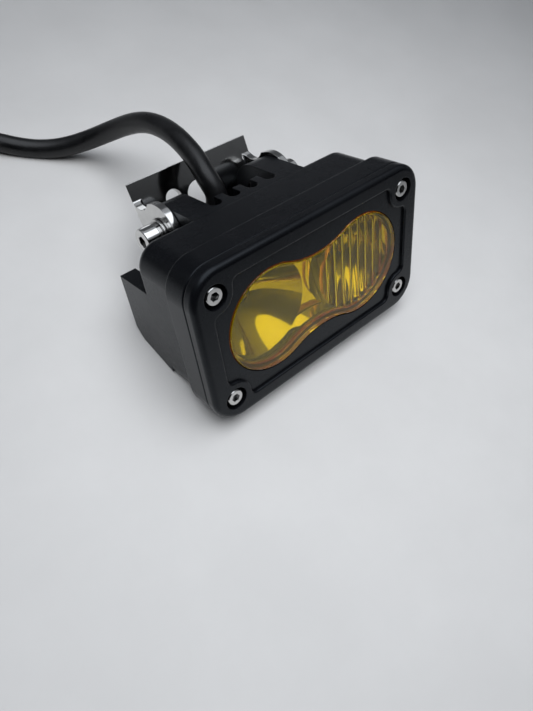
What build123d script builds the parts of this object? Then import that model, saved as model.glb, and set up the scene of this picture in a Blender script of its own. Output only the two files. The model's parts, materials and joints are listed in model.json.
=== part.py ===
from build123d import *
from math import cos, radians, sin, sqrt, tan
import os

os.makedirs("parts", exist_ok=True)

# A two-lens LED fog light on a tilting U-bracket. Millimetres, +Z up, the lens looks along -Y.
# The origin is the centre of the bracket's main bolt hole, on the face that meets the vehicle.

# ---- driving dimensions ------------------------------------------------------------------
BEZEL_W, BEZEL_H, BEZEL_CORNER = 74.4, 43.4, 8.0
BEZEL_T = 3.4                   # bezel thickness
SEAM_R = 0.4                    # rounding of the bezel's and housing's outer edges at their seam
FLANGE_END = 10.5               # depth where the housing's full-outline flange ends
BODY_STEP = 1.7                 # the block behind the flange is smaller by this on each side
BLOCK_END = 25.4                # depth of the block's rear face
LUG_END = 36.2                  # depth of the side lugs' rear edge
UNDERSIDE_SLOPE = 20.0          # degrees the underside rises towards the rear
PIVOT_DEPTH, PIVOT_HEIGHT = 37.3, 13.0   # tilt pivot behind the bezel face, above the lamp axis

PLATE_TILT = 18.0               # degrees the mounting plate leans back in the rest pose
PIVOT_REACH, PIVOT_DROP = 12.06, 3.12    # pivot from the mounting hole, across and down the plate
STEEL_T = 2.0                   # bracket sheet thickness
BRACKET_W = 41.2                # over the two arms
CLEAR = 0.05                    # gap between pieces that touch
RUNNING = 0.06                  # radial clearance of the tilt pivot

LOBE_X, LOBE_R, WAIST = 15.1, 14.25, 11.05   # the two-lobed window: lobe centre, radius, half waist
BOWL_X, BOWL_R = 14.2, 13.0     # reflector bowls
SCREW_X, SCREW_Z = 30.9, 15.1   # bezel screws
CABLE_R = 2.95
GLAND_X, GLAND_Z = -4.6, 2.0

# ---- places worked out from them ---------------------------------------------------------
LEAN_COS, LEAN_SIN = cos(radians(PLATE_TILT)), sin(radians(PLATE_TILT))
PIVOT_Y = -PIVOT_REACH * LEAN_COS - PIVOT_DROP * LEAN_SIN
PIVOT_Z = PIVOT_REACH * LEAN_SIN - PIVOT_DROP * LEAN_COS
FACE_Y = PIVOT_Y - PIVOT_DEPTH
AXIS_Z = PIVOT_Z - PIVOT_HEIGHT
ARM_INNER = BRACKET_W / 2 - STEEL_T
BODY_W, BODY_H = BEZEL_W - 2 * BODY_STEP, BEZEL_H - 2 * BODY_STEP
BODY_TOP = BODY_H / 2

# Depths of the optical stack behind the bezel face.
RECESS_D = 0.8
LENS_FRONT = 0.6
LENS_SEAT = 5.0                 # rear of the lens flange
LENS_BACK = 3.9                 # inner face of the lens window
SEAL_T = 0.9
REFLECTOR_D = 7.6               # front of the reflector's web
BOARD_D, BOARD_T = 17.7, 1.6
PAD_T = 0.5
CAVITY_END = BOARD_D + BOARD_T + PAD_T
BOWL_VERTEX = 17.1
REFLECTOR_WALL = 0.9


def front(depth=0.0):
    """A plane across the lamp at a depth behind the bezel face, seen from the front."""
    return Plane(origin=(0, FACE_Y + depth, AXIS_Z), x_dir=(1, 0, 0), z_dir=(0, -1, 0))


def side(x=0.0):
    """A plane along the lamp at x: local x is depth, local y is height above the lamp axis."""
    return Plane(origin=(x, FACE_Y, AXIS_Z), x_dir=(0, 1, 0), z_dir=(1, 0, 0))


def plan(height=0.0):
    """A level plane: local y is depth, height is above the lamp axis."""
    return Plane(origin=(0, FACE_Y, AXIS_Z + height), x_dir=(1, 0, 0), z_dir=(0, 0, 1))


def pivot_plane(x, outward):
    """A plane square to the tilt axis at x, facing outward (+1 right, -1 left)."""
    return Plane(origin=(x, PIVOT_Y, PIVOT_Z), x_dir=(0, 0, 1), z_dir=(outward, 0, 0))


def lamp_point(x, depth, height):
    return (x, FACE_Y + depth, AXIS_Z + height)


def save(piece, name):
    piece.part.label = name
    export_step(piece.part, f"parts/{name}.step")


def window_outline(grow=0.0):
    """The two-lobed outline: two circles joined by arcs that curve in at the waist."""
    lobe = LOBE_R + grow
    waist = WAIST + grow
    joint_r = (LOBE_X**2 + waist**2 - lobe**2) / (2 * (lobe - waist))
    joint_z = waist + joint_r
    reach = sqrt(LOBE_X**2 + joint_z**2)
    touch_x = LOBE_X - lobe * LOBE_X / reach
    touch_z = lobe * joint_z / reach
    with BuildLine() as outline:
        ThreePointArc((-touch_x, touch_z), (0, waist), (touch_x, touch_z))
        ThreePointArc((touch_x, touch_z), (LOBE_X + lobe, 0), (touch_x, -touch_z))
        ThreePointArc((touch_x, -touch_z), (0, -waist), (-touch_x, -touch_z))
        ThreePointArc((-touch_x, -touch_z), (-LOBE_X - lobe, 0), (-touch_x, touch_z))
    return outline


def window_face(grow=0.0):
    return make_face(window_outline(grow).edges(), mode=Mode.PRIVATE)


SCREW_SPOTS = [(x, z) for x in (-SCREW_X, SCREW_X) for z in (-SCREW_Z, SCREW_Z)]
SCREW_SHANK_R = 1.25
SCREW_HEAD_R, SCREW_HEAD_H = 2.25, 1.8
SCREW_BORE_R, SCREW_BORE_D = 3.1, 2.2
SCREW_PLAY = 0.15               # clearance round the shanks in the bezel
SCREW_TIP = 9.4                 # depth of the screw tips in the flange
SCREW_KEY_R, SCREW_KEY_D = 1.15, 1.2   # hex socket
SCREW_CROWN = 0.25

# ---- bezel -------------------------------------------------------------------------------
RECESS_W, RECESS_H, RECESS_CORNER = 64.4, 34.6, 3.0
RECESS_EDGE_R = 0.5
BITE_R, BITE_BLEND_R = 4.9, 1.8 # the recess stops this far short of each screw
BEZEL_EDGE_R = 1.4

with BuildPart() as bezel:
    with BuildSketch(front()):
        RectangleRounded(BEZEL_W, BEZEL_H, BEZEL_CORNER)
        add(window_face(), mode=Mode.SUBTRACT)
    extrude(amount=-BEZEL_T)
    bezel_front = bezel.faces().sort_by(Axis.Y)[0]
    fillet(bezel_front.outer_wire().edges(), BEZEL_EDGE_R)
    bezel_back = bezel.faces().sort_by(Axis.Y)[-1]
    fillet(bezel_back.outer_wire().edges(), SEAM_R)
    with BuildSketch(front()) as recess:
        RectangleRounded(RECESS_W, RECESS_H, RECESS_CORNER)
        with Locations(*SCREW_SPOTS):
            Circle(BITE_R, mode=Mode.SUBTRACT)
        fillet(recess.vertices(), BITE_BLEND_R)
        add(window_face(), mode=Mode.SUBTRACT)
    extrude(amount=-RECESS_D, mode=Mode.SUBTRACT)
    rim = bezel.faces().sort_by(Axis.Y)[0]
    fillet(rim.inner_wires()[0].edges(), RECESS_EDGE_R)
    with BuildSketch(front()):
        with Locations(*SCREW_SPOTS):
            Circle(SCREW_BORE_R)
    extrude(amount=-SCREW_BORE_D, mode=Mode.SUBTRACT)
    with BuildSketch(front()):
        with Locations(*SCREW_SPOTS):
            Circle(SCREW_SHANK_R + SCREW_PLAY)
    extrude(amount=-BEZEL_T, mode=Mode.SUBTRACT)
save(bezel, "bezel")

# ---- lens: a clear window, smooth on the left lobe and fluted on the right ----------------
FLUTE_PITCH, FLUTE_R, FLUTE_COUNT = 2.9, 1.75, 9
FLUTE_X = LOBE_X - 0.9
FLUTE_SINK = 0.55               # how far the ribs' centres lie inside the window
FLUTED_R = LOBE_R - 1.5
FLUTE_END = LENS_SEAT + 0.7
LENS_PLAY = 0.2                 # gap round the window in the bezel's opening
LENS_FLANGE = 1.9               # how far the lens flange reaches past the window
WINDOW_WALL = 1.2

with BuildPart() as lens:
    with BuildSketch(front(LENS_FRONT)):
        add(window_face(-LENS_PLAY))
    extrude(amount=-(BEZEL_T - LENS_FRONT))
    crown = lens.faces().sort_by(Axis.Y)[0]
    fillet(crown.edges(), 0.4)
    with BuildSketch(front(BEZEL_T + CLEAR)):
        add(window_face(LENS_FLANGE))
    extrude(amount=-(LENS_SEAT - BEZEL_T - CLEAR))
    with BuildSketch(front(BEZEL_T + CLEAR)):
        add(window_face(-WINDOW_WALL / 2))
    extrude(amount=CLEAR)
    with BuildSketch(front(LENS_SEAT)):
        add(window_face(-WINDOW_WALL))
    extrude(amount=LENS_SEAT - LENS_BACK, mode=Mode.SUBTRACT)
    # upright half-round ribs on the inner face of the right lobe
    with BuildSketch(plan(-BODY_TOP)):
        with Locations((FLUTE_X, LENS_BACK - FLUTE_SINK)):
            with GridLocations(FLUTE_PITCH, 1, FLUTE_COUNT, 1):
                Circle(FLUTE_R)
    rib_bars = extrude(amount=2 * BODY_TOP, mode=Mode.PRIVATE)
    with BuildSketch(front(FLUTE_END)):
        with Locations((LOBE_X, 0)):
            Circle(FLUTED_R)
    lobe_disc = extrude(amount=FLUTE_END - LENS_BACK + WINDOW_WALL / 6, mode=Mode.PRIVATE)
    add(rib_bars & lobe_disc)
save(lens, "lens")

# ---- lens seal: a silicone ring between the lens flange and the housing -------------------
SEAL_OUT, SEAL_IN = 1.8, -0.9   # its edges, measured outwards from the window outline

with BuildPart() as lens_seal:
    with BuildSketch(front(LENS_SEAT + CLEAR)):
        add(window_face(SEAL_OUT))
        add(window_face(SEAL_IN), mode=Mode.SUBTRACT)
    extrude(amount=-(SEAL_T - CLEAR))
save(lens_seal, "lens_seal")

# ---- housing: flange, block, side lugs, hinge ears and cooling fins ------------------------
EAR_PLAY = 0.12                 # gap between each ear and its bracket arm
EAR_INNER, EAR_OUTER, EAR_R = 10.85, ARM_INNER - EAR_PLAY, 6.9
EAR_FOOT = -6.0                 # height where the ears run out into the fins
SLOT_W, SLOT_PITCH, SLOT_D = 3.5, 6.05, 12.0
FIN_T = SLOT_PITCH - SLOT_W
FIN_END = 30.0
FIN_FOOT = -18.0
SIDE_FIN_X, SIDE_FIN_END, SIDE_FIN_TOP = 25.2, 33.0, 4.5
ROOT = 2.0                      # how far fins, ears and lugs reach into the block
LUG_T, LUG_TOP, LUG_CHAMFER = 4.5, 8.0, 2.5
BOLT_R = 2.0
REAR_EDGE_R = 2.4
FLANGE_EDGE_R = 0.6
SEAT_PLAY = 0.1                 # gap round the lens flange in its seat
CAVITY_IN = -0.4                # the cavity wall, measured outwards from the window outline
GLAND_PORT_R = 4.4
VENT_X, VENT_Z, VENT_R = 6.2, 2.0, 3.0
VENT_BREATH_R = 1.0
WIRE_PORT_R = 2.3
POCKET_R, POCKET_D = 6.8, 14.0
BOARD_SCREW_Z, BOARD_TAP_R, BOARD_TAP_D = 7.6, 1.0, 3.4
GLAND_DEPTH = 3.9               # how far the gland goes into the housing
VENT_DEPTH = 2.9
PORT_PLAY = 0.1                 # extra depth behind the gland, the vent and the screw tips


def underside(depth):
    """Height of the sloping underside at a depth."""
    return -BODY_TOP + (depth - FLANGE_END) * tan(radians(UNDERSIDE_SLOPE))


with BuildPart() as housing:
    with BuildSketch(front(BEZEL_T + CLEAR)):
        RectangleRounded(BEZEL_W, BEZEL_H, BEZEL_CORNER)
    extrude(amount=-(FLANGE_END - BEZEL_T - CLEAR))
    flange_front, *_, flange_back = housing.faces().sort_by(Axis.Y)
    fillet(flange_back.edges(), FLANGE_EDGE_R)
    fillet(flange_front.edges(), SEAM_R)
    with BuildSketch(front(FLANGE_END - ROOT / 2)):
        RectangleRounded(BODY_W, BODY_H, BEZEL_CORNER - BODY_STEP)
    extrude(amount=-(BLOCK_END - FLANGE_END + ROOT / 2))
    block_back = housing.faces().sort_by(Axis.Y)[-1]
    fillet(block_back.edges().filter_by(Axis.Z), REAR_EDGE_R)
    # lugs at both sides
    for x in (-BODY_W / 2, BODY_W / 2 - LUG_T):
        with BuildSketch(side(x)):
            with BuildLine():
                Polyline(
                    (BLOCK_END - 2 * ROOT, LUG_TOP),
                    (LUG_END, LUG_TOP),
                    (LUG_END, underside(LUG_END) + LUG_CHAMFER),
                    (LUG_END - LUG_CHAMFER, underside(LUG_END - LUG_CHAMFER)),
                    (BLOCK_END - 2 * ROOT, underside(BLOCK_END - 2 * ROOT)),
                    close=True,
                )
            make_face()
        extrude(amount=LUG_T)
    # hinge ears, rounded about the pivot
    for x in (-EAR_OUTER, EAR_INNER):
        with BuildSketch(side(x)):
            with BuildLine():
                Polyline(
                    (BLOCK_END - ROOT, BODY_TOP),
                    (PIVOT_DEPTH, BODY_TOP),
                    (PIVOT_DEPTH, PIVOT_HEIGHT - EAR_R),
                    (FIN_END, EAR_FOOT),
                    (BLOCK_END - ROOT, EAR_FOOT),
                    close=True,
                )
            make_face()
            with Locations((PIVOT_DEPTH, PIVOT_HEIGHT)):
                Circle(EAR_R)
        extrude(amount=EAR_OUTER - EAR_INNER)
    # fins between the ears, then shorter ones outboard of them
    with BuildSketch(plan(BODY_TOP)):
        with Locations((0, (BLOCK_END - ROOT + FIN_END) / 2)):
            with GridLocations(SLOT_PITCH, 1, 3, 1):
                Rectangle(FIN_T, FIN_END - BLOCK_END + ROOT)
    extrude(amount=FIN_FOOT - BODY_TOP)
    with BuildSketch(plan(SIDE_FIN_TOP)):
        for sign in (-1, 1):
            with Locations((sign * SIDE_FIN_X, (BLOCK_END - ROOT + SIDE_FIN_END) / 2)):
                with GridLocations(SLOT_PITCH, 1, 2, 1):
                    Rectangle(FIN_T, SIDE_FIN_END - BLOCK_END + ROOT)
    extrude(amount=FIN_FOOT - SIDE_FIN_TOP)
    # a step between the ears leaves the slots between fins and ears with round bottoms
    with BuildSketch(plan(BODY_TOP)):
        with Locations((0, BLOCK_END + (SLOT_W / 2 - ROOT) / 2)):
            Rectangle(2 * EAR_INNER + ROOT, SLOT_W / 2 + ROOT)
    extrude(amount=FIN_FOOT - BODY_TOP)
    with BuildSketch(plan(BODY_TOP)):
        for x in (-1.5, -0.5, 0.5, 1.5):
            with Locations((x * SLOT_PITCH, BLOCK_END + SLOT_D / 2)):
                Rectangle(SLOT_W, SLOT_D - SLOT_W)
            with Locations((x * SLOT_PITCH, BLOCK_END + SLOT_W / 2)):
                Circle(SLOT_W / 2)
    extrude(amount=-BODY_H, mode=Mode.SUBTRACT)
    # the underside slopes up to the rear
    with BuildSketch(side(-BODY_W / 2 - 1)):
        with BuildLine():
            Polyline(
                (FLANGE_END, -BODY_TOP),
                (LUG_END + ROOT, underside(LUG_END + ROOT)),
                (LUG_END + ROOT, -BODY_H),
                (FLANGE_END, -BODY_H),
                close=True,
            )
        make_face()
    extrude(amount=BODY_W + 2, mode=Mode.SUBTRACT)
    # pockets for the cable gland and the vent
    with BuildSketch(front(BLOCK_END)):
        with Locations((GLAND_X, GLAND_Z), (VENT_X, VENT_Z)):
            Circle(POCKET_R)
    extrude(amount=-POCKET_D, mode=Mode.SUBTRACT)
    # lens seat and optics cavity
    with BuildSketch(front(BEZEL_T)):
        add(window_face(LENS_FLANGE + SEAT_PLAY))
    extrude(amount=-(LENS_SEAT + SEAL_T - BEZEL_T), mode=Mode.SUBTRACT)
    with BuildSketch(front(BEZEL_T)):
        add(window_face(CAVITY_IN))
    extrude(amount=-(CAVITY_END - BEZEL_T), mode=Mode.SUBTRACT)
    # holes: bezel screws, board screws, wires, gland, vent and pivot bolts
    with BuildSketch(front(BEZEL_T)):
        with Locations(*SCREW_SPOTS):
            Circle(SCREW_SHANK_R)
    extrude(amount=-(SCREW_TIP + PORT_PLAY - BEZEL_T), mode=Mode.SUBTRACT)
    with BuildSketch(front(CAVITY_END)):
        with Locations((0, BOARD_SCREW_Z), (0, -BOARD_SCREW_Z)):
            Circle(BOARD_TAP_R)
    extrude(amount=-BOARD_TAP_D, mode=Mode.SUBTRACT)
    with BuildSketch(front(CAVITY_END)):
        with Locations((GLAND_X, GLAND_Z)):
            Circle(WIRE_PORT_R)
    extrude(amount=-(BLOCK_END - CAVITY_END), mode=Mode.SUBTRACT)
    with BuildSketch(front(BLOCK_END)):
        with Locations((GLAND_X, GLAND_Z)):
            Circle(GLAND_PORT_R)
    extrude(amount=GLAND_DEPTH + PORT_PLAY, mode=Mode.SUBTRACT)
    with BuildSketch(front(BLOCK_END)):
        with Locations((VENT_X, VENT_Z)):
            Circle(VENT_R)
    extrude(amount=VENT_DEPTH + PORT_PLAY, mode=Mode.SUBTRACT)
    with BuildSketch(front(BLOCK_END)):
        with Locations((VENT_X, VENT_Z)):
            Circle(VENT_BREATH_R)
    extrude(amount=BLOCK_END - CAVITY_END, mode=Mode.SUBTRACT)
    for outward in (-1, 1):
        with BuildSketch(pivot_plane(outward * EAR_OUTER, outward)):
            Circle(BOLT_R)
        extrude(amount=-(EAR_OUTER - EAR_INNER), mode=Mode.SUBTRACT)
save(housing, "housing")

# ---- bezel screws ---------------------------------------------------------------------------
with BuildPart() as bezel_screws:
    with BuildSketch(front(SCREW_BORE_D - CLEAR)):
        with Locations(*SCREW_SPOTS):
            Circle(SCREW_HEAD_R)
    extrude(amount=SCREW_HEAD_H)
    crowns = bezel_screws.faces().group_by(Axis.Y)[0]
    chamfer(crowns.edges(), SCREW_CROWN)
    with BuildSketch(front(SCREW_BORE_D - CLEAR)):
        with Locations(*SCREW_SPOTS):
            Circle(SCREW_SHANK_R - CLEAR)
    extrude(amount=-(SCREW_TIP - SCREW_BORE_D))
    with BuildSketch(front(SCREW_BORE_D - CLEAR - SCREW_HEAD_H)):
        with Locations(*SCREW_SPOTS):
            RegularPolygon(SCREW_KEY_R, 6)
    extrude(amount=-SCREW_KEY_D, mode=Mode.SUBTRACT)
save(bezel_screws, "bezel_screws")

# ---- reflector: two open-bottomed paraboloids in one web --------------------------------------
REFLECTOR_RIM_D = LENS_SEAT + SEAL_T + CLEAR
FOCAL = BOWL_R**2 / (4 * (BOWL_VERTEX - REFLECTOR_D))
LED_HOLE_R = 2.7
WEB_IN = -0.5                   # the web's edge, measured outwards from the window outline
WEB_RIM = 0.6


def bowl_depth(radius):
    """Depth of the reflecting surface at a distance from the bowl's axis."""
    return BOWL_VERTEX - radius**2 / (4 * FOCAL)


def parabola(inner_r, outer_r, shift):
    """The reflecting curve between two radii as one exact quadratic curve, moved back by shift."""
    slope_in = -inner_r / (2 * FOCAL)
    slope_out = -outer_r / (2 * FOCAL)
    start, end = bowl_depth(inner_r) + shift, bowl_depth(outer_r) + shift
    mid_r = (inner_r + outer_r) / 2
    mid_d = start + slope_in * (mid_r - inner_r)
    assert abs(mid_d - (end + slope_out * (mid_r - outer_r))) < 1e-6
    return (inner_r, start), (mid_r, mid_d), (outer_r, end)


def bowl_section(x):
    """A plane through the bowl's axis: local x is radius, local y is depth."""
    return Plane(origin=(x, FACE_Y, AXIS_Z), x_dir=(1, 0, 0), z_dir=(0, 0, 1))


with BuildPart() as reflector:
    with BuildSketch(front(REFLECTOR_RIM_D)):
        add(window_face(WEB_IN))
    extrude(amount=-(REFLECTOR_D + REFLECTOR_WALL - REFLECTOR_RIM_D))
    with BuildSketch(front(REFLECTOR_RIM_D)):
        add(window_face(WEB_IN - WEB_RIM))
    extrude(amount=-(REFLECTOR_D - REFLECTOR_RIM_D), mode=Mode.SUBTRACT)
    for sign in (-1, 1):
        with BuildSketch(bowl_section(sign * BOWL_X)):
            with BuildLine():
                outer = parabola(LED_HOLE_R, BOWL_R + REFLECTOR_WALL / 2, REFLECTOR_WALL)
                Bezier(*outer)
                Polyline(outer[2], (0, outer[2][1]), (0, outer[0][1]), outer[0])
            make_face()
        revolve(axis=Axis((sign * BOWL_X, 0, AXIS_Z), (0, 1, 0)))
    for sign in (-1, 1):
        with BuildSketch(bowl_section(sign * BOWL_X)):
            with BuildLine():
                inner = parabola(LED_HOLE_R, BOWL_R, 0)
                Bezier(*inner)
                Polyline(
                    inner[2],
                    (BOWL_R, REFLECTOR_D - 1),
                    (0, REFLECTOR_D - 1),
                    (0, BOARD_D),
                    (LED_HOLE_R, BOARD_D),
                    inner[0],
                )
            make_face()
        revolve(axis=Axis((sign * BOWL_X, 0, AXIS_Z), (0, 1, 0)), mode=Mode.SUBTRACT)
save(reflector, "reflector")

# ---- circuit board with its thermal pad and screws --------------------------------------------
BOARD_SPOTS = [(0, BOARD_SCREW_Z), (0, -BOARD_SCREW_Z)]
BOARD_IN, PAD_IN = -0.8, -1.2   # their edges, measured outwards from the window outline
BOARD_HOLE_R, PAD_HOLE_R = 1.15, 1.6
BOARD_HEAD_R, BOARD_HEAD_H = 1.75, 1.1
BOARD_SLOT_W, BOARD_SLOT_L, BOARD_SLOT_D = 0.45, 2.0, 0.7

with BuildPart() as circuit_board:
    with BuildSketch(front(BOARD_D)):
        add(window_face(BOARD_IN))
        with Locations(*BOARD_SPOTS):
            Circle(BOARD_HOLE_R, mode=Mode.SUBTRACT)
        with Locations((GLAND_X, GLAND_Z), (VENT_X, VENT_Z)):
            Circle(WIRE_PORT_R, mode=Mode.SUBTRACT)
    extrude(amount=-(BOARD_T - CLEAR))
save(circuit_board, "circuit_board")

with BuildPart() as thermal_pad:
    with BuildSketch(front(BOARD_D + BOARD_T)):
        add(window_face(PAD_IN))
        with Locations(*BOARD_SPOTS):
            Circle(PAD_HOLE_R, mode=Mode.SUBTRACT)
        with Locations((GLAND_X, GLAND_Z), (VENT_X, VENT_Z)):
            Circle(WIRE_PORT_R + 0.3, mode=Mode.SUBTRACT)
    extrude(amount=-(PAD_T - CLEAR))
save(thermal_pad, "thermal_pad")

with BuildPart() as board_screws:
    with BuildSketch(front(BOARD_D - CLEAR)):
        with Locations(*BOARD_SPOTS):
            Circle(BOARD_HEAD_R)
    extrude(amount=BOARD_HEAD_H)
    domes = board_screws.faces().sort_by(Axis.Y)[:2]
    fillet(domes.edges(), BOARD_HEAD_H / 2)
    with BuildSketch(front(BOARD_D - CLEAR)):
        with Locations(*BOARD_SPOTS):
            Circle(BOARD_TAP_R - CLEAR)
    extrude(amount=-(CAVITY_END + BOARD_TAP_D - 0.4 - BOARD_D))
    with BuildSketch(front(BOARD_D - CLEAR - BOARD_HEAD_H)):
        with Locations(*BOARD_SPOTS):
            Rectangle(BOARD_SLOT_L, BOARD_SLOT_W)
            Rectangle(BOARD_SLOT_W, BOARD_SLOT_L)
    extrude(amount=-BOARD_SLOT_D, mode=Mode.SUBTRACT)
save(board_screws, "board_screws")

# ---- LED emitters: a square package with a domed lens -------------------------------------------
LED_SIZE, LED_BASE, LED_DOME_R = 3.45, 0.7, 1.45

for sign, led_name in ((-1, "led_spot"), (1, "led_wide")):
    with BuildPart() as led:
        with BuildSketch(front(BOARD_D - CLEAR)):
            with Locations((sign * BOWL_X, 0)):
                Rectangle(LED_SIZE, LED_SIZE)
        extrude(amount=LED_BASE)
        with BuildSketch(bowl_section(sign * BOWL_X)):
            top = BOARD_D - CLEAR - LED_BASE
            foot = top + LED_BASE / 3
            with BuildLine():
                Polyline((0, top - LED_DOME_R), (0, foot), (LED_DOME_R, foot), (LED_DOME_R, top))
                RadiusArc((LED_DOME_R, top), (0, top - LED_DOME_R), LED_DOME_R)
            make_face()
        revolve(axis=Axis((sign * BOWL_X, 0, AXIS_Z), (0, 1, 0)))
    save(led, led_name)

# ---- driver components on the board, in the space between the bowls ------------------------------
INDUCTOR_SIZE, INDUCTOR_H, INDUCTOR_Z = 4.2, 2.4, 3.0
CAPACITOR_L, CAPACITOR_W = 1.6, 0.9
CAPACITOR_SPOTS = [(-1.4, -2.4), (1.4, -2.4), (0, -4.4)]

with BuildPart() as driver_inductor:
    with BuildSketch(front(BOARD_D - CLEAR)):
        with Locations((0, INDUCTOR_Z)):
            RectangleRounded(INDUCTOR_SIZE, INDUCTOR_SIZE, INDUCTOR_SIZE / 7)
    extrude(amount=INDUCTOR_H)
save(driver_inductor, "driver_inductor")

with BuildPart() as driver_capacitors:
    with BuildSketch(front(BOARD_D - CLEAR)):
        with Locations(*CAPACITOR_SPOTS):
            Rectangle(CAPACITOR_L, CAPACITOR_W)
    extrude(amount=CAPACITOR_W)
save(driver_capacitors, "driver_capacitors")

# ---- cable gland, its O-ring and its clamping nut -----------------------------------------------
GLAND_SPOT = (GLAND_X, GLAND_Z)
ORING_T, ORING_R = 0.75, 5.4
HEX_T, HEX_R = 1.6, 6.0
THREAD_R, THREAD_L = 4.1, 1.8   # the threaded neck that takes the nut
NUT_T, NUT_R, NUT_CROWN_R = 3.4, 5.4, 1.2
NUT_GRIPS, GRIP_R = 12, 0.5
HEX_D = BLOCK_END + ORING_T + CLEAR
NUT_D = HEX_D + HEX_T + CLEAR

with BuildPart() as cable_gland:
    with BuildSketch(front(BLOCK_END - GLAND_DEPTH)):
        with Locations(GLAND_SPOT):
            Circle(GLAND_PORT_R - CLEAR)
    extrude(amount=-(HEX_D - BLOCK_END + GLAND_DEPTH))
    with BuildSketch(front(HEX_D)):
        with Locations(GLAND_SPOT):
            RegularPolygon(HEX_R, 6)
    extrude(amount=-HEX_T)
    with BuildSketch(front(HEX_D)):
        with Locations(GLAND_SPOT):
            Circle(THREAD_R)
    extrude(amount=-(HEX_T + CLEAR + THREAD_L))
    with BuildSketch(front(BLOCK_END - GLAND_DEPTH)):
        with Locations(GLAND_SPOT):
            Circle(CABLE_R + CLEAR)
    extrude(amount=-(NUT_D + NUT_T - BLOCK_END + GLAND_DEPTH), mode=Mode.SUBTRACT)
save(cable_gland, "cable_gland")

with BuildPart() as gland_oring:
    with BuildSketch(front(BLOCK_END + CLEAR)):
        with Locations(GLAND_SPOT):
            Circle(ORING_R)
            Circle(GLAND_PORT_R + CLEAR, mode=Mode.SUBTRACT)
    extrude(amount=-(ORING_T - CLEAR))
save(gland_oring, "gland_oring")

with BuildPart() as gland_nut:
    with BuildSketch(front(NUT_D)):
        with Locations(GLAND_SPOT):
            Circle(NUT_R)
    extrude(amount=-NUT_T)
    crown = gland_nut.faces().sort_by(Axis.Y)[-1]
    fillet(crown.edges(), NUT_CROWN_R)
    with BuildSketch(front(NUT_D)):
        with Locations(GLAND_SPOT):
            with PolarLocations(NUT_R + GRIP_R / 2, NUT_GRIPS):
                Circle(GRIP_R)
    extrude(amount=-NUT_T + NUT_CROWN_R, mode=Mode.SUBTRACT)
    with BuildSketch(front(NUT_D)):
        with Locations(GLAND_SPOT):
            Circle(THREAD_R + CLEAR)
    extrude(amount=-THREAD_L - CLEAR, mode=Mode.SUBTRACT)
    with BuildSketch(front(NUT_D)):
        with Locations(GLAND_SPOT):
            Circle(CABLE_R + CLEAR)
    extrude(amount=-NUT_T, mode=Mode.SUBTRACT)
save(gland_nut, "gland_nut")

# ---- cable: a round jacket over two insulated wires ----------------------------------------------
JACKET_START = BLOCK_END - GLAND_DEPTH + 0.4
JACKET_BORE_R, WIRE_R = 2.2, 0.65
WIRE_ASIDE, WIRE_RISE = 0.9, 0.63      # how far each wire lies beside and above the cable's axis
BEND_START = NUT_D + NUT_T
CABLE_COURSE = [                # x, depth, height of the flexible run outside the gland
    (-4.6, 34.7, 3.7),
    (-4.2, 36.2, 8.0),
    (-3.5, 36.1, 12.6),
    (-2.6, 36.0, 17.0),
    (-2.8, 38.3, 20.9),
    (-2.2, 42.0, 23.8),
    (-1.3, 50.0, 27.8),
    (-0.6, 57.0, 29.3),
    (-0.6, 66.7, 29.8),
    (-3.0, 81.5, 26.6),
    (-8.9, 92.8, 22.6),
    (-16.6, 100.0, 21.0),
    (-24.1, 105.8, 22.1),
    (-32.6, 112.1, 26.1),
]
LEAD_LENGTH = 7.0               # bare run of the wires past the jacket's end
CABLE_END_WAY = (-0.72, 0.58, 0.38)


def cable_run(aside=0.0, rise=0.0):
    """The flexible run of the cable from the gland over the bracket, moved aside and up."""
    way = [lamp_point(x + aside, d, z + rise) for x, d, z in CABLE_COURSE]
    start = lamp_point(GLAND_X + aside, BEND_START, GLAND_Z + rise)
    return Spline(start, *way, tangents=[(0, 1, 0), CABLE_END_WAY], tangent_scalars=[1.0, 1.0])


with BuildPart() as cable_jacket:
    with BuildLine() as course:
        Line(lamp_point(GLAND_X, JACKET_START, GLAND_Z), lamp_point(GLAND_X, BEND_START, GLAND_Z))
        cable_run()
    jacket_start = Plane(origin=lamp_point(GLAND_X, JACKET_START, GLAND_Z), z_dir=(0, 1, 0))
    with BuildSketch(jacket_start):
        Circle(CABLE_R)
    sweep(path=course.wire())
    with BuildSketch(jacket_start):
        Circle(JACKET_BORE_R)
    sweep(path=course.wire(), mode=Mode.SUBTRACT)
save(cable_jacket, "cable_jacket")

SOLDER_D = BOARD_D - 0.95       # the wires' ends lie on the board
SOLDER_REACH = 2.8
WIRE_BEND_R = 1.0

for way, wire_name in ((-1, "wire_positive"), (1, "wire_negative")):
    wire_x = GLAND_X + way * WIRE_ASIDE
    wire_z = GLAND_Z + way * WIRE_RISE
    with BuildPart() as wire:
        with BuildLine() as course:
            pad = lamp_point(wire_x, SOLDER_D, wire_z + way * SOLDER_REACH)
            turn = lamp_point(wire_x, SOLDER_D, wire_z + way * WIRE_BEND_R)
            turned = lamp_point(wire_x, SOLDER_D + WIRE_BEND_R, wire_z)
            Line(pad, turn)
            TangentArc(turn, turned, tangent=(0, 0, -way))
            Line(turned, lamp_point(wire_x, BEND_START, wire_z))
            run = cable_run(way * WIRE_ASIDE, way * WIRE_RISE)
            tip = Vector(*CABLE_END_WAY).normalized() * LEAD_LENGTH
            Line(run @ 1, (run @ 1) + tip)
        with BuildSketch(Plane(origin=pad, z_dir=(0, 0, -way))):
            Circle(WIRE_R)
        sweep(path=course.wire())
    save(wire, wire_name)

# ---- pressure vent ---------------------------------------------------------------------------------
VENT_SPOT = (VENT_X, VENT_Z)
VENT_HEAD_R, VENT_HEAD_T, VENT_EDGE_R = 4.3, 2.0, 0.6
VENT_NOTCHES, NOTCH_R, NOTCH_D = 6, 0.55, 1.2

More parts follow.
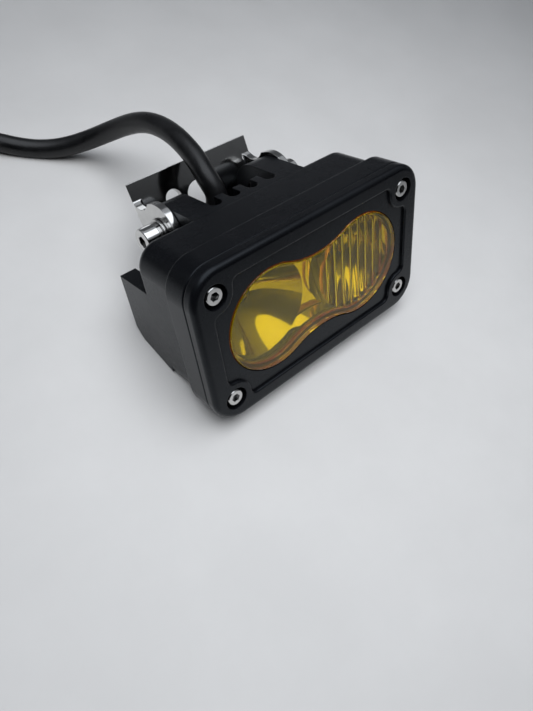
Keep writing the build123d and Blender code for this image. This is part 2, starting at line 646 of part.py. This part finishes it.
with BuildPart() as vent_plug:
    with BuildSketch(front(BLOCK_END + CLEAR)):
        with Locations(VENT_SPOT):
            Circle(VENT_HEAD_R)
    extrude(amount=-VENT_HEAD_T)
    crown = vent_plug.faces().sort_by(Axis.Y)[-1]
    fillet(crown.edges(), VENT_EDGE_R)
    with BuildSketch(front(BLOCK_END + CLEAR)):
        with Locations(VENT_SPOT):
            Circle(VENT_R - CLEAR)
    extrude(amount=VENT_DEPTH + CLEAR)
    with BuildSketch(front(BLOCK_END + NOTCH_D)):
        with Locations(VENT_SPOT):
            with PolarLocations(VENT_HEAD_R, VENT_NOTCHES):
                Circle(NOTCH_R)
    extrude(amount=-VENT_HEAD_T, mode=Mode.SUBTRACT)
save(vent_plug, "vent_plug")

# ---- bracket: a sheet-steel U with two goosenecked arms ----------------------------------------------
PLATE_TOP, PLATE_BOTTOM = 10.2, -11.0
MAIN_HOLE_R = 4.2
SIDE_HOLE_R, SIDE_HOLE_X, SIDE_HOLE_V = 2.65, -8.4, 1.9
ARM_END_R = 7.9
RELIEF_R, RELIEF_U, RELIEF_V = 5.6, 6.5, 8.8
BEND_R, OUTER_BEND_R = 1.0, 2.7


def plate_plane(reach=0.0):
    """A plane square to the mounting plate: local y runs up the plate, +z towards the lamp."""
    origin = (0, -reach * LEAN_COS, reach * LEAN_SIN)
    return Plane(origin=origin, x_dir=(1, 0, 0), z_dir=(0, -LEAN_COS, LEAN_SIN))


def arm_plane(x):
    """A plane square to the tilt axis: local x runs from the plate to the lamp, local y up the plate."""
    return Plane(origin=(x, 0, 0), x_dir=(0, -LEAN_COS, LEAN_SIN), z_dir=(-1, 0, 0))


with BuildPart() as bracket:
    with BuildSketch(arm_plane(BRACKET_W / 2)):
        with BuildLine():
            Polyline(
                (0, PLATE_TOP),
                (RELIEF_U, PLATE_TOP),
                (RELIEF_U, -PIVOT_DROP + ARM_END_R),
                (PIVOT_REACH, -PIVOT_DROP + ARM_END_R),
                (PIVOT_REACH, -PIVOT_DROP - ARM_END_R),
                (0, PLATE_BOTTOM),
                close=True,
            )
        make_face()
        with Locations((PIVOT_REACH, -PIVOT_DROP)):
            Circle(ARM_END_R)
    extrude(amount=BRACKET_W)
    with BuildSketch(plate_plane(STEEL_T)):
        Rectangle(2 * ARM_INNER, 2 * BRACKET_W)
    extrude(amount=BRACKET_W, mode=Mode.SUBTRACT)
    up_plate = Axis((0, 0, 0), (0, LEAN_SIN, LEAN_COS))
    off_plate = Axis((0, 0, 0), (0, -LEAN_COS, LEAN_SIN))
    bends = bracket.edges().filter_by(up_plate).group_by(off_plate)
    outer_bends, inner_bends = bends[0], bends[1]
    fillet(outer_bends, OUTER_BEND_R)
    fillet(inner_bends, BEND_R)
    with BuildSketch(arm_plane(BRACKET_W / 2)):
        with Locations((RELIEF_U, RELIEF_V)):
            Circle(RELIEF_R)
        with Locations((STEEL_T + RELIEF_R, RELIEF_V)):
            Rectangle(2 * RELIEF_R, 2 * RELIEF_R, mode=Mode.INTERSECT)
    extrude(amount=BRACKET_W, mode=Mode.SUBTRACT)
    with BuildSketch(plate_plane()):
        Circle(MAIN_HOLE_R)
        with Locations((SIDE_HOLE_X, SIDE_HOLE_V)):
            Circle(SIDE_HOLE_R)
    extrude(amount=STEEL_T, mode=Mode.SUBTRACT)
    with BuildSketch(pivot_plane(BRACKET_W / 2, 1)):
        Circle(BOLT_R + RUNNING)
    extrude(amount=-BRACKET_W, mode=Mode.SUBTRACT)
save(bracket, "bracket")

# ---- pivot bolts and washers, one set on each side ------------------------------------------------------
FLAT_T, FLAT_R = 0.8, 4.1
LOCK_T, LOCK_R = 1.0, 3.45
LOCK_SLIT_W, LOCK_SLIT_LEAN = 0.45, 25.0
HEAD_H, HEAD_R, HEAD_EDGE_R = 4.0, 3.5, 0.4
KEY_R, KEY_D = 1.75, 2.2        # hex socket
STACK_GAP = 0.02                # between each washer and the next piece
BOLT_CLEAR = 0.02
FLAT_X = BRACKET_W / 2 + CLEAR
LOCK_X = FLAT_X + FLAT_T + STACK_GAP
HEAD_X = LOCK_X + LOCK_T + STACK_GAP
BOLT_TIP_X = EAR_INNER + 0.4

for outward, where in ((-1, "left"), (1, "right")):
    with BuildPart() as flat_washer:
        with BuildSketch(pivot_plane(outward * FLAT_X, outward)):
            Circle(FLAT_R)
            Circle(BOLT_R + SCREW_PLAY, mode=Mode.SUBTRACT)
        extrude(amount=FLAT_T)
        rims = flat_washer.edges().filter_by(GeomType.CIRCLE).group_by(SortBy.LENGTH)[-1]
        chamfer(rims, FLAT_T / 7)
    save(flat_washer, f"flat_washer_{where}")

    with BuildPart() as lock_washer:
        with BuildSketch(pivot_plane(outward * LOCK_X, outward)):
            Circle(LOCK_R)
            Circle(BOLT_R + SCREW_PLAY, mode=Mode.SUBTRACT)
        extrude(amount=LOCK_T)
        middle = pivot_plane(outward * (LOCK_X + LOCK_T / 2), outward)
        with BuildSketch(middle.rotated((LOCK_SLIT_LEAN, 0, 0))):
            with Locations(((BOLT_R + LOCK_R) / 2, 0)):
                Rectangle(1.5 * (LOCK_R - BOLT_R), LOCK_SLIT_W)
        extrude(amount=LOCK_T, both=True, mode=Mode.SUBTRACT)
    save(lock_washer, f"lock_washer_{where}")

    with BuildPart() as pivot_bolt:
        with BuildSketch(pivot_plane(outward * HEAD_X, outward)):
            Circle(HEAD_R)
        extrude(amount=HEAD_H)
        crown = pivot_bolt.faces().sort_by(Axis.X)[-1 if outward > 0 else 0]
        fillet(crown.edges(), HEAD_EDGE_R)
        with BuildSketch(pivot_plane(outward * HEAD_X, outward)):
            Circle(BOLT_R - BOLT_CLEAR)
        extrude(amount=-(HEAD_X - BOLT_TIP_X))
        with BuildSketch(pivot_plane(outward * (HEAD_X + HEAD_H), outward)):
            RegularPolygon(KEY_R, 6)
        extrude(amount=-KEY_D, mode=Mode.SUBTRACT)
    save(pivot_bolt, f"pivot_bolt_{where}")
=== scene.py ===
import json
import math

import bmesh
import bpy
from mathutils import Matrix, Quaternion, Vector


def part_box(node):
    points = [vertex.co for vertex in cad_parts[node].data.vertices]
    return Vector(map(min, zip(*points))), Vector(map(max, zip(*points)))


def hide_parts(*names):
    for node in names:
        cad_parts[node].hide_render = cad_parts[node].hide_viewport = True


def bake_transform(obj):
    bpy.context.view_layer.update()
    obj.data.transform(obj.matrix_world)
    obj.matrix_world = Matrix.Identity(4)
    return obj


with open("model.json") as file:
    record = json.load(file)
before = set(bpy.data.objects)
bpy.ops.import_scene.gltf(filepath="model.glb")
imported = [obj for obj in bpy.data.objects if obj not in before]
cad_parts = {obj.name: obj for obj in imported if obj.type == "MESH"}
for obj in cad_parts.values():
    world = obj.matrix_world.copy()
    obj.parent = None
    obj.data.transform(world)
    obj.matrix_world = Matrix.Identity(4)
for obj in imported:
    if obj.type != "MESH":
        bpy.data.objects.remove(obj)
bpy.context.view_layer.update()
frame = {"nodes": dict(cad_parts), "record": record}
nodes = frame["nodes"]
scene = bpy.context.scene

MM = 0.001


# ---- node graphs -------------------------------------------------------------------------
class Graph:
    """A material's node graph. Inputs are sockets, numbers or colours."""

    BEVEL_SAMPLES = 6

    def __init__(self, name):
        self.material = bpy.data.materials.new(name)
        self.start(self.material)

    def start(self, owner):
        owner.use_nodes = True
        self.tree = owner.node_tree
        self.tree.nodes.clear()

    def node(self, kind, inputs=None, **settings):
        made = self.tree.nodes.new("ShaderNode" + kind)
        for key, value in settings.items():
            setattr(made, key, value)
        for key, value in (inputs or {}).items():
            self.feed(made.inputs[key], value)
        return made

    def feed(self, socket, value):
        if isinstance(value, bpy.types.NodeSocket):
            self.tree.links.new(value, socket)
        elif isinstance(value, (tuple, list)) and socket.type == "RGBA":
            socket.default_value = (*value[:3], 1.0)
        else:
            socket.default_value = value

    def place(self):
        return self.node("TexCoord").outputs["Object"]

    def noise(self, scale, detail=2.0, rough=0.5, vector=None, distortion=0.0):
        made = self.node("TexNoise", {
            "Vector": vector or self.place(), "Scale": scale, "Detail": detail,
            "Roughness": rough, "Distortion": distortion,
        })
        return made.outputs["Fac"]

    def stretched(self, scale):
        return self.node("Mapping", {"Vector": self.place(), "Scale": scale}).outputs["Vector"]

    def cells(self, scale):
        made = self.node("TexVoronoi", {"Vector": self.place(), "Scale": scale}, feature="F1")
        return made.outputs["Distance"]

    def span(self, value, low, high, to_low=0.0, to_high=1.0):
        """The value's way from low to high, as a number from to_low to to_high."""
        return self.node("MapRange", {
            "Value": value, "From Min": low, "From Max": high, "To Min": to_low, "To Max": to_high,
        }, clamp=True).outputs["Result"]

    def math(self, operation, a, b=0.0):
        return self.node("Math", {0: a, 1: b}, operation=operation).outputs[0]

    def mix(self, factor, a, b):
        made = self.node("Mix", data_type="RGBA")
        self.feed(made.inputs["Factor"], factor)
        self.feed(made.inputs[6], a)  # 6 and 7 are the Mix node's two colours, output 2 the result
        self.feed(made.inputs[7], b)
        return made.outputs[2]

    def bump(self, height, strength, distance, normal=None):
        inputs = {"Height": height, "Strength": strength, "Distance": distance}
        if normal is not None:
            inputs["Normal"] = normal
        return self.node("Bump", inputs).outputs["Normal"]

    def rounded(self, radius):
        made = self.node("Bevel", {"Radius": radius}, samples=self.BEVEL_SAMPLES)
        return made.outputs["Normal"]

    def openness(self, distance, samples):
        """1 on an open surface, falling to 0 deep in a corner."""
        made = self.node("AmbientOcclusion", {"Distance": distance}, samples=samples)
        return made.outputs["AO"]

    def fore_and_aft(self):
        """How squarely a surface faces along Y, the way the lamp looks: 0 to 1."""
        normal = self.node("NewGeometry").outputs["True Normal"]
        return self.math("ABSOLUTE", self.node("SeparateXYZ", {"Vector": normal}).outputs["Y"])

    def blend(self, factor, a, b):
        return self.node("MixShader", {0: factor, 1: a, 2: b}).outputs[0]

    def principled(self, inputs):
        return self.node("BsdfPrincipled", inputs).outputs["BSDF"]

    def finish(self, shader):
        self.node("OutputMaterial", {"Surface": shader})
        return self.material


class Room(Graph):
    """The world's node graph."""

    def __init__(self, name):
        self.world = bpy.data.worlds.new(name)
        self.start(self.world)

    def facing(self, direction, low, high, to_low, to_high):
        """A level that changes as a ray turns towards a direction."""
        ray = self.node("TexCoord").outputs["Generated"]
        turned = self.node("VectorMath", {0: ray, 1: direction}, operation="DOT_PRODUCT")
        return self.span(turned.outputs["Value"], low, high, to_low, to_high)

    def background(self, colour, strength):
        return self.node("Background", {"Color": colour, "Strength": strength}).outputs[0]


# ---- materials: noise scales are per metre, bump and bevel distances are in metres -----------
EDGE_SOFTENING = 0.22 * MM


def black_metal():
    """Satin black powder coat: fine orange peel, faint dust and softly rounded edges; painted
    shade cuts its specular level in corners and seams.
    """
    g = Graph("black_metal")
    peel = g.noise(scale=2600, detail=3.0)
    grain = g.noise(scale=9000, detail=2.0)
    patches = g.noise(scale=60, detail=4.0, rough=0.6)
    dust = g.span(g.cells(scale=900), 0.0, 0.07, 1.0, 0.0)
    dust = g.math("MULTIPLY", dust, g.span(g.noise(scale=130, detail=3.0), 0.58, 0.72))
    dark, light, dusty = (0.0026, 0.0029, 0.0038), (0.0044, 0.0048, 0.0060), (0.20, 0.19, 0.18)
    base = g.mix(g.span(patches, 0.35, 0.7), dark, light)
    base = g.mix(g.math("MULTIPLY", dust, 0.35), base, dusty)
    worn = g.math("ADD", patches, g.math("MULTIPLY", grain, 0.35))
    height = g.math("ADD", peel, g.math("MULTIPLY", grain, 0.5))
    # painted shade: occlusion lowers the specular level in seams, recesses, slots and bores
    exposed = g.openness(distance=1.2 * MM, samples=4)
    return g.finish(g.principled({
        "Base Color": base,
        "Roughness": g.span(worn, 0.4, 0.95, 0.22, 0.32),
        "Normal": g.bump(height, 0.16, 0.03 * MM, g.rounded(EDGE_SOFTENING)),
        "Specular IOR Level": g.span(exposed, 0.35, 0.85, 0.02, 0.26),
        "Specular Tint": (0.84, 0.92, 1.0),
    }))


def stainless():
    """Polished stainless steel with fine drawn lines, darkened in its corners by painted shade."""
    g = Graph("stainless")
    lines = g.noise(scale=1.0, detail=4.0, rough=0.6, vector=g.stretched((300, 6000, 300)))
    smudge = g.noise(scale=220, detail=4.0, rough=0.65)
    clean, dull, shaded = (0.66, 0.655, 0.64), (0.56, 0.555, 0.545), (0.035, 0.035, 0.04)
    base = g.mix(g.span(smudge, 0.35, 0.7), clean, dull)
    # painted shade: the colour falls to near black in corners and screw sockets
    exposed = g.openness(distance=1.6 * MM, samples=6)
    base = g.mix(g.span(exposed, 0.25, 0.75), shaded, base)
    worn = g.math("ADD", smudge, g.math("MULTIPLY", lines, 0.6))
    return g.finish(g.principled({
        "Base Color": base,
        "Metallic": 1.0,
        "Roughness": g.span(worn, 0.55, 1.1, 0.06, 0.17),
        "Normal": g.bump(lines, 0.06, 0.02 * MM, g.rounded(EDGE_SOFTENING)),
    }))


def amber_lens():
    """Clear amber plastic, deeper in its edges. Shadow and diffuse rays pass through it tinted."""
    g = Graph("amber_lens")
    haze = g.noise(scale=180, detail=3.0, rough=0.6)
    face, hazed, edge = (0.96, 0.79, 0.022), (0.93, 0.75, 0.018), (0.85, 0.20, 0.012)
    wall = g.span(g.fore_and_aft(), 0.45, 0.80, 1.0, 0.0)
    base = g.mix(g.span(haze, 0.3, 0.7), face, hazed)
    clear = g.principled({
        "Base Color": g.mix(wall, base, edge),
        "Roughness": g.span(haze, 0.3, 0.8, 0.01, 0.035),
        "IOR": 1.49,
        "Transmission Weight": g.span(wall, 0.0, 1.0, 0.975, 0.84),
        "Normal": g.bump(g.noise(scale=300, detail=2.0), 0.02, 0.04 * MM),
    })
    through = g.node("BsdfTransparent", {"Color": (0.93, 0.74, 0.12)}).outputs[0]
    ray = g.node("LightPath")
    soft = g.math("MAXIMUM", ray.outputs["Is Shadow Ray"], ray.outputs["Is Diffuse Ray"])
    return g.finish(g.blend(soft, clear, through))


def bright_reflector():
    """Vacuum-metallised plastic with a slight ripple; the flat web is painted brighter than the
    bowls, a painted highlight on the web and painted shade in the bowls.
    """
    g = Graph("bright_reflector")
    ripple = g.noise(scale=120, detail=2.0)
    # painted highlight and shade: one coat, bright where it faces along Y, dimmed in the bowls
    flat = g.span(g.fore_and_aft(), 0.93, 0.985)
    bowl = g.mix(g.span(ripple, 0.35, 0.65), (0.64, 0.635, 0.62), (0.58, 0.575, 0.56))
    return g.finish(g.principled({
        "Base Color": g.mix(flat, bowl, (0.94, 0.935, 0.92)),
        "Metallic": 1.0,
        "Roughness": g.span(ripple, 0.3, 0.7, 0.05, 0.10),
        "Normal": g.bump(ripple, 0.08, 0.2 * MM),
    }))


def silicone():
    """Matte black silicone rubber."""
    g = Graph("silicone")
    grain = g.noise(scale=3000, detail=2.0)
    return g.finish(g.principled({
        "Base Color": g.mix(g.span(grain, 0.3, 0.7), (0.020, 0.020, 0.020), (0.035, 0.034, 0.033)),
        "Roughness": g.span(grain, 0.3, 0.7, 0.55, 0.75),
        "Normal": g.bump(grain, 0.1, 0.02 * MM),
    }))


def board():
    """Solder-masked board: faint copper tracks under a green lacquer."""
    g = Graph("board")
    tracks = g.node("TexBrick", {
        "Vector": g.stretched((1.0, 1.0, 1.0)), "Scale": 300.0, "Mortar Size": 0.08,
        "Color1": (0.010, 0.085, 0.035), "Color2": (0.013, 0.105, 0.045),
        "Mortar": (0.03, 0.17, 0.07),
    })
    return g.finish(g.principled({
        "Base Color": tracks.outputs["Color"],
        "Roughness": g.span(g.noise(scale=900), 0.3, 0.7, 0.25, 0.4),
        "Coat Weight": 0.3,
    }))


def emitter():
    """Yellow phosphor under a silicone dome."""
    g = Graph("emitter")
    grain = g.noise(scale=5000, detail=3.0)
    return g.finish(g.principled({
        "Base Color": g.mix(g.span(grain, 0.3, 0.7), (0.75, 0.60, 0.10), (0.85, 0.72, 0.18)),
        "Roughness": g.span(grain, 0.3, 0.7, 0.25, 0.4),
        "Coat Weight": 0.6,
        "Coat Roughness": 0.05,
        "Normal": g.bump(grain, 0.05, 0.02 * MM),
    }))


def cable_rubber():
    """Satin black jacket with a fine grain, handling smudges and pale dust."""
    g = Graph("cable_jacket")
    grain = g.noise(scale=4200, detail=3.0, rough=0.6)
    smudge = g.noise(scale=160, detail=4.0, rough=0.65, distortion=0.6)
    specks = g.span(g.noise(scale=2400, detail=4.0, rough=0.8), 0.60, 0.72)
    dust = g.math("MULTIPLY", specks, g.span(smudge, 0.45, 0.62))
    dark, light, dusty = (0.0035, 0.0036, 0.0040), (0.0075, 0.0077, 0.0085), (0.22, 0.20, 0.18)
    base = g.mix(g.span(smudge, 0.35, 0.7), dark, light)
    base = g.mix(g.math("MULTIPLY", dust, 0.22), base, dusty)
    worn = g.math("ADD", smudge, g.math("MULTIPLY", grain, 0.4))
    height = g.math("ADD", grain, g.math("MULTIPLY", smudge, 0.6))
    return g.finish(g.principled({
        "Base Color": base,
        "Roughness": g.span(worn, 0.5, 1.0, 0.26, 0.46),
        "Specular IOR Level": 0.42,
        "Normal": g.bump(height, 0.22, 0.04 * MM),
    }))


def speckled(name, dark, light, rough, scale=2500):
    """A moulded or pressed material with a fine grain between two shades."""
    g = Graph(name)
    grain = g.noise(scale, detail=3.0, rough=0.6)
    return g.finish(g.principled({
        "Base Color": g.mix(g.span(grain, 0.3, 0.7), dark, light),
        "Roughness": g.span(grain, 0.3, 0.7, *rough),
        "Normal": g.bump(grain, 0.12, 0.03 * MM),
    }))


def pale_sheet():
    """A plain pale sheet with painted shade darkening it far from the lamp, seen from its upper
    side only.
    """
    g = Graph("pale_sheet")
    mottle = g.noise(scale=35, detail=5.0, rough=0.6)
    fibre = g.noise(scale=1500, detail=3.0, rough=0.6)
    base = g.mix(g.span(mottle, 0.3, 0.7), (0.600, 0.597, 0.592), (0.640, 0.637, 0.632))
    painted_shade_reach = g.node("VectorMath", {0: g.place()}, operation="LENGTH").outputs["Value"]
    # painted shade: the colour falls off with distance, standing in for the softbox's light
    # falling off
    base = g.mix(g.span(painted_shade_reach, 0.05, 0.38), base, (0.12, 0.122, 0.128))
    sheet = g.principled({
        "Base Color": base,
        "Roughness": g.span(mottle, 0.3, 0.7, 0.50, 0.62),
        "Specular IOR Level": 0.3,
        "Normal": g.bump(fibre, 0.05, 0.1 * MM),
    })
    unseen = g.node("BsdfTransparent", {"Color": (1, 1, 1)}).outputs[0]
    return g.finish(g.blend(g.node("NewGeometry").outputs["Backfacing"], sheet, unseen))


SPECKLED = {
    "heat_pad": ((0.25, 0.32, 0.42), (0.33, 0.40, 0.50), (0.6, 0.8)),
    "ferrite": ((0.030, 0.030, 0.033), (0.060, 0.060, 0.064), (0.45, 0.65)),
    "capacitor": ((0.33, 0.21, 0.12), (0.42, 0.28, 0.17), (0.3, 0.45)),
    "black_nylon": ((0.014, 0.014, 0.014), (0.024, 0.024, 0.024), (0.42, 0.60)),
    "wire_red": ((0.38, 0.016, 0.010), (0.48, 0.025, 0.016), (0.32, 0.45), 3000),
    "wire_black": ((0.012, 0.012, 0.012), (0.020, 0.020, 0.020), (0.32, 0.45), 3000),
}
FINISHES = {
    "black_metal": black_metal(),
    "stainless": stainless(),
    "amber_lens": amber_lens(),
    "bright_reflector": bright_reflector(),
    "silicone": silicone(),
    "board": board(),
    "emitter": emitter(),
    "cable_jacket": cable_rubber(),
    **{name: speckled(name, *look) for name, look in SPECKLED.items()},
}
for subpart in frame["record"]["subparts"]:
    for place in nodes[subpart["node"]].material_slots:
        place.material = FINISHES[subpart["material_slot"]]


# ---- the cable and its wires, as smooth-shaded copies of the CAD runs ----------------------
WELD = 0.01 * MM
SHARP_ANGLE = math.radians(50)


def supple(node, name, finish):
    """A smooth-shaded, welded copy of a CAD run with its own finish, standing in for the hidden
    CAD part.
    """
    piece = bpy.data.objects.new(name, nodes[node].data.copy())
    scene.collection.objects.link(piece)
    work = bmesh.new()
    work.from_mesh(piece.data)
    bmesh.ops.remove_doubles(work, verts=work.verts, dist=WELD)
    work.to_mesh(piece.data)
    work.free()
    piece.data.shade_smooth()
    piece.data.set_sharp_from_angle(angle=SHARP_ANGLE)
    piece.data.materials.clear()
    piece.data.materials.append(FINISHES[finish])
    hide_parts(node)
    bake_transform(piece)


supple("cable_jacket", "cable", "cable_jacket")
supple("wire_positive", "red_wire", "wire_red")
supple("wire_negative", "black_wire", "wire_black")


# ---- stage: a pale sheet that the lamp rests on by its sloping underside --------------------
CAMERA_HEADING = math.radians(35.954)
FLOOR_SLOPE = math.radians(23.6)
REST_SETBACK = 6.6 * MM  # from the housing's front to the lower edge that it rests on
REST_GAP = 0.2 * MM

housing_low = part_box("housing")[0]
rest_edge = Vector((0, housing_low.y + REST_SETBACK, housing_low.z - REST_GAP))
floor_up = Vector((0, -math.sin(FLOOR_SLOPE), math.cos(FLOOR_SLOPE)))
away = Vector((math.sin(CAMERA_HEADING), math.cos(CAMERA_HEADING), 0))
away = (away - away.dot(floor_up) * floor_up).normalized()
across = away.cross(floor_up)

SHEET_HALF = 0.9
NEAR_REACH = -0.15
FLAT_REACH = 0.20
CURVE_R = 0.30
CURVE_TURN = math.radians(62)
CURVE_STEPS = 24
RISE = 0.5


def sheet_profile():
    """(reach, height) along the sheet: flat, a broad curve, then a straight rise."""
    yield NEAR_REACH, 0.0
    yield 0.0, 0.0
    for i in range(CURVE_STEPS + 1):
        turn = CURVE_TURN * i / CURVE_STEPS
        reach, height = FLAT_REACH + CURVE_R * math.sin(turn), CURVE_R * (1 - math.cos(turn))
        yield reach, height
    yield reach + RISE * math.cos(CURVE_TURN), height + RISE * math.sin(CURVE_TURN)


profile = list(sheet_profile())
corners = [
    away * reach + floor_up * height + across * sideways
    for reach, height in profile
    for sideways in (-SHEET_HALF, SHEET_HALF)
]
strips = [(2 * i, 2 * i + 1, 2 * i + 3, 2 * i + 2) for i in range(len(profile) - 1)]
sheet_mesh = bpy.data.meshes.new("sheet")
sheet_mesh.from_pydata(corners, [], strips)
sheet_mesh.materials.append(pale_sheet())
sheet_mesh.shade_smooth()
sheet = bpy.data.objects.new("sheet", sheet_mesh)
sheet.location = rest_edge
scene.collection.objects.link(sheet)


# ---- light: a softbox overhead, with a bright cap of the room in its place in mirror rays ----
SOFTBOX_HEIGHT = 0.42
SOFTBOX_SIDE = 0.40
SOFTBOX_WATTS = 1.16
SOFTBOX_NEARER, SOFTBOX_ASIDE = 0.035, 0.01

lit_spot = rest_edge - away * SOFTBOX_NEARER - across * SOFTBOX_ASIDE
softbox = bpy.data.lights.new("overhead", "AREA")
softbox.shape = "RECTANGLE"
softbox.size = softbox.size_y = SOFTBOX_SIDE
softbox.energy = SOFTBOX_WATTS
overhead = bpy.data.objects.new("overhead", softbox)
overhead.location = lit_spot + floor_up * SOFTBOX_HEIGHT
overhead.rotation_mode = "QUATERNION"
overhead.rotation_quaternion = (-floor_up).to_track_quat("-Z", "Y")
overhead.visible_glossy = False
overhead.visible_transmission = False
scene.collection.objects.link(overhead)

room = Room("room")
over_and_ahead = floor_up * 0.8 + away * 0.6
glow = room.facing(over_and_ahead, low=0.15, high=0.85, to_low=0.015, to_high=0.48)
cap = room.facing(floor_up, low=0.83, high=0.855, to_low=0.0, to_high=1.70)
lit = room.background((0.80, 0.84, 0.90), room.math("ADD", glow, cap))
plain = room.background((0.46, 0.47, 0.49), 1.0)
seen = room.node("LightPath").outputs["Is Camera Ray"]
room.node("OutputWorld", {"Surface": room.blend(seen, lit, plain)})
scene.world = room.world
scene.view_settings.view_transform = "Standard"


# ---- camera ---------------------------------------------------------------------------------
CAMERA_SPOT = Vector((-82.54, -135.79, 70.48)) * MM
CAMERA_PITCH = math.radians(-40.552)
CAMERA_ROLL = math.radians(-8.573)
SENSOR_MM = 36.0
FOCAL_MM = 28.89
NEAR_CLIP = 5 * MM

lens = bpy.data.cameras.new("camera")
lens.sensor_width = SENSOR_MM
lens.lens = FOCAL_MM
lens.clip_start = NEAR_CLIP
look = Vector((
    math.sin(CAMERA_HEADING) * math.cos(CAMERA_PITCH),
    math.cos(CAMERA_HEADING) * math.cos(CAMERA_PITCH),
    math.sin(CAMERA_PITCH),
))
camera = bpy.data.objects.new("camera", lens)
camera.rotation_mode = "QUATERNION"
camera.rotation_quaternion = look.to_track_quat("-Z", "Y") @ Quaternion((0, 0, 1), CAMERA_ROLL)
camera.location = CAMERA_SPOT
scene.collection.objects.link(camera)
scene.camera = camera
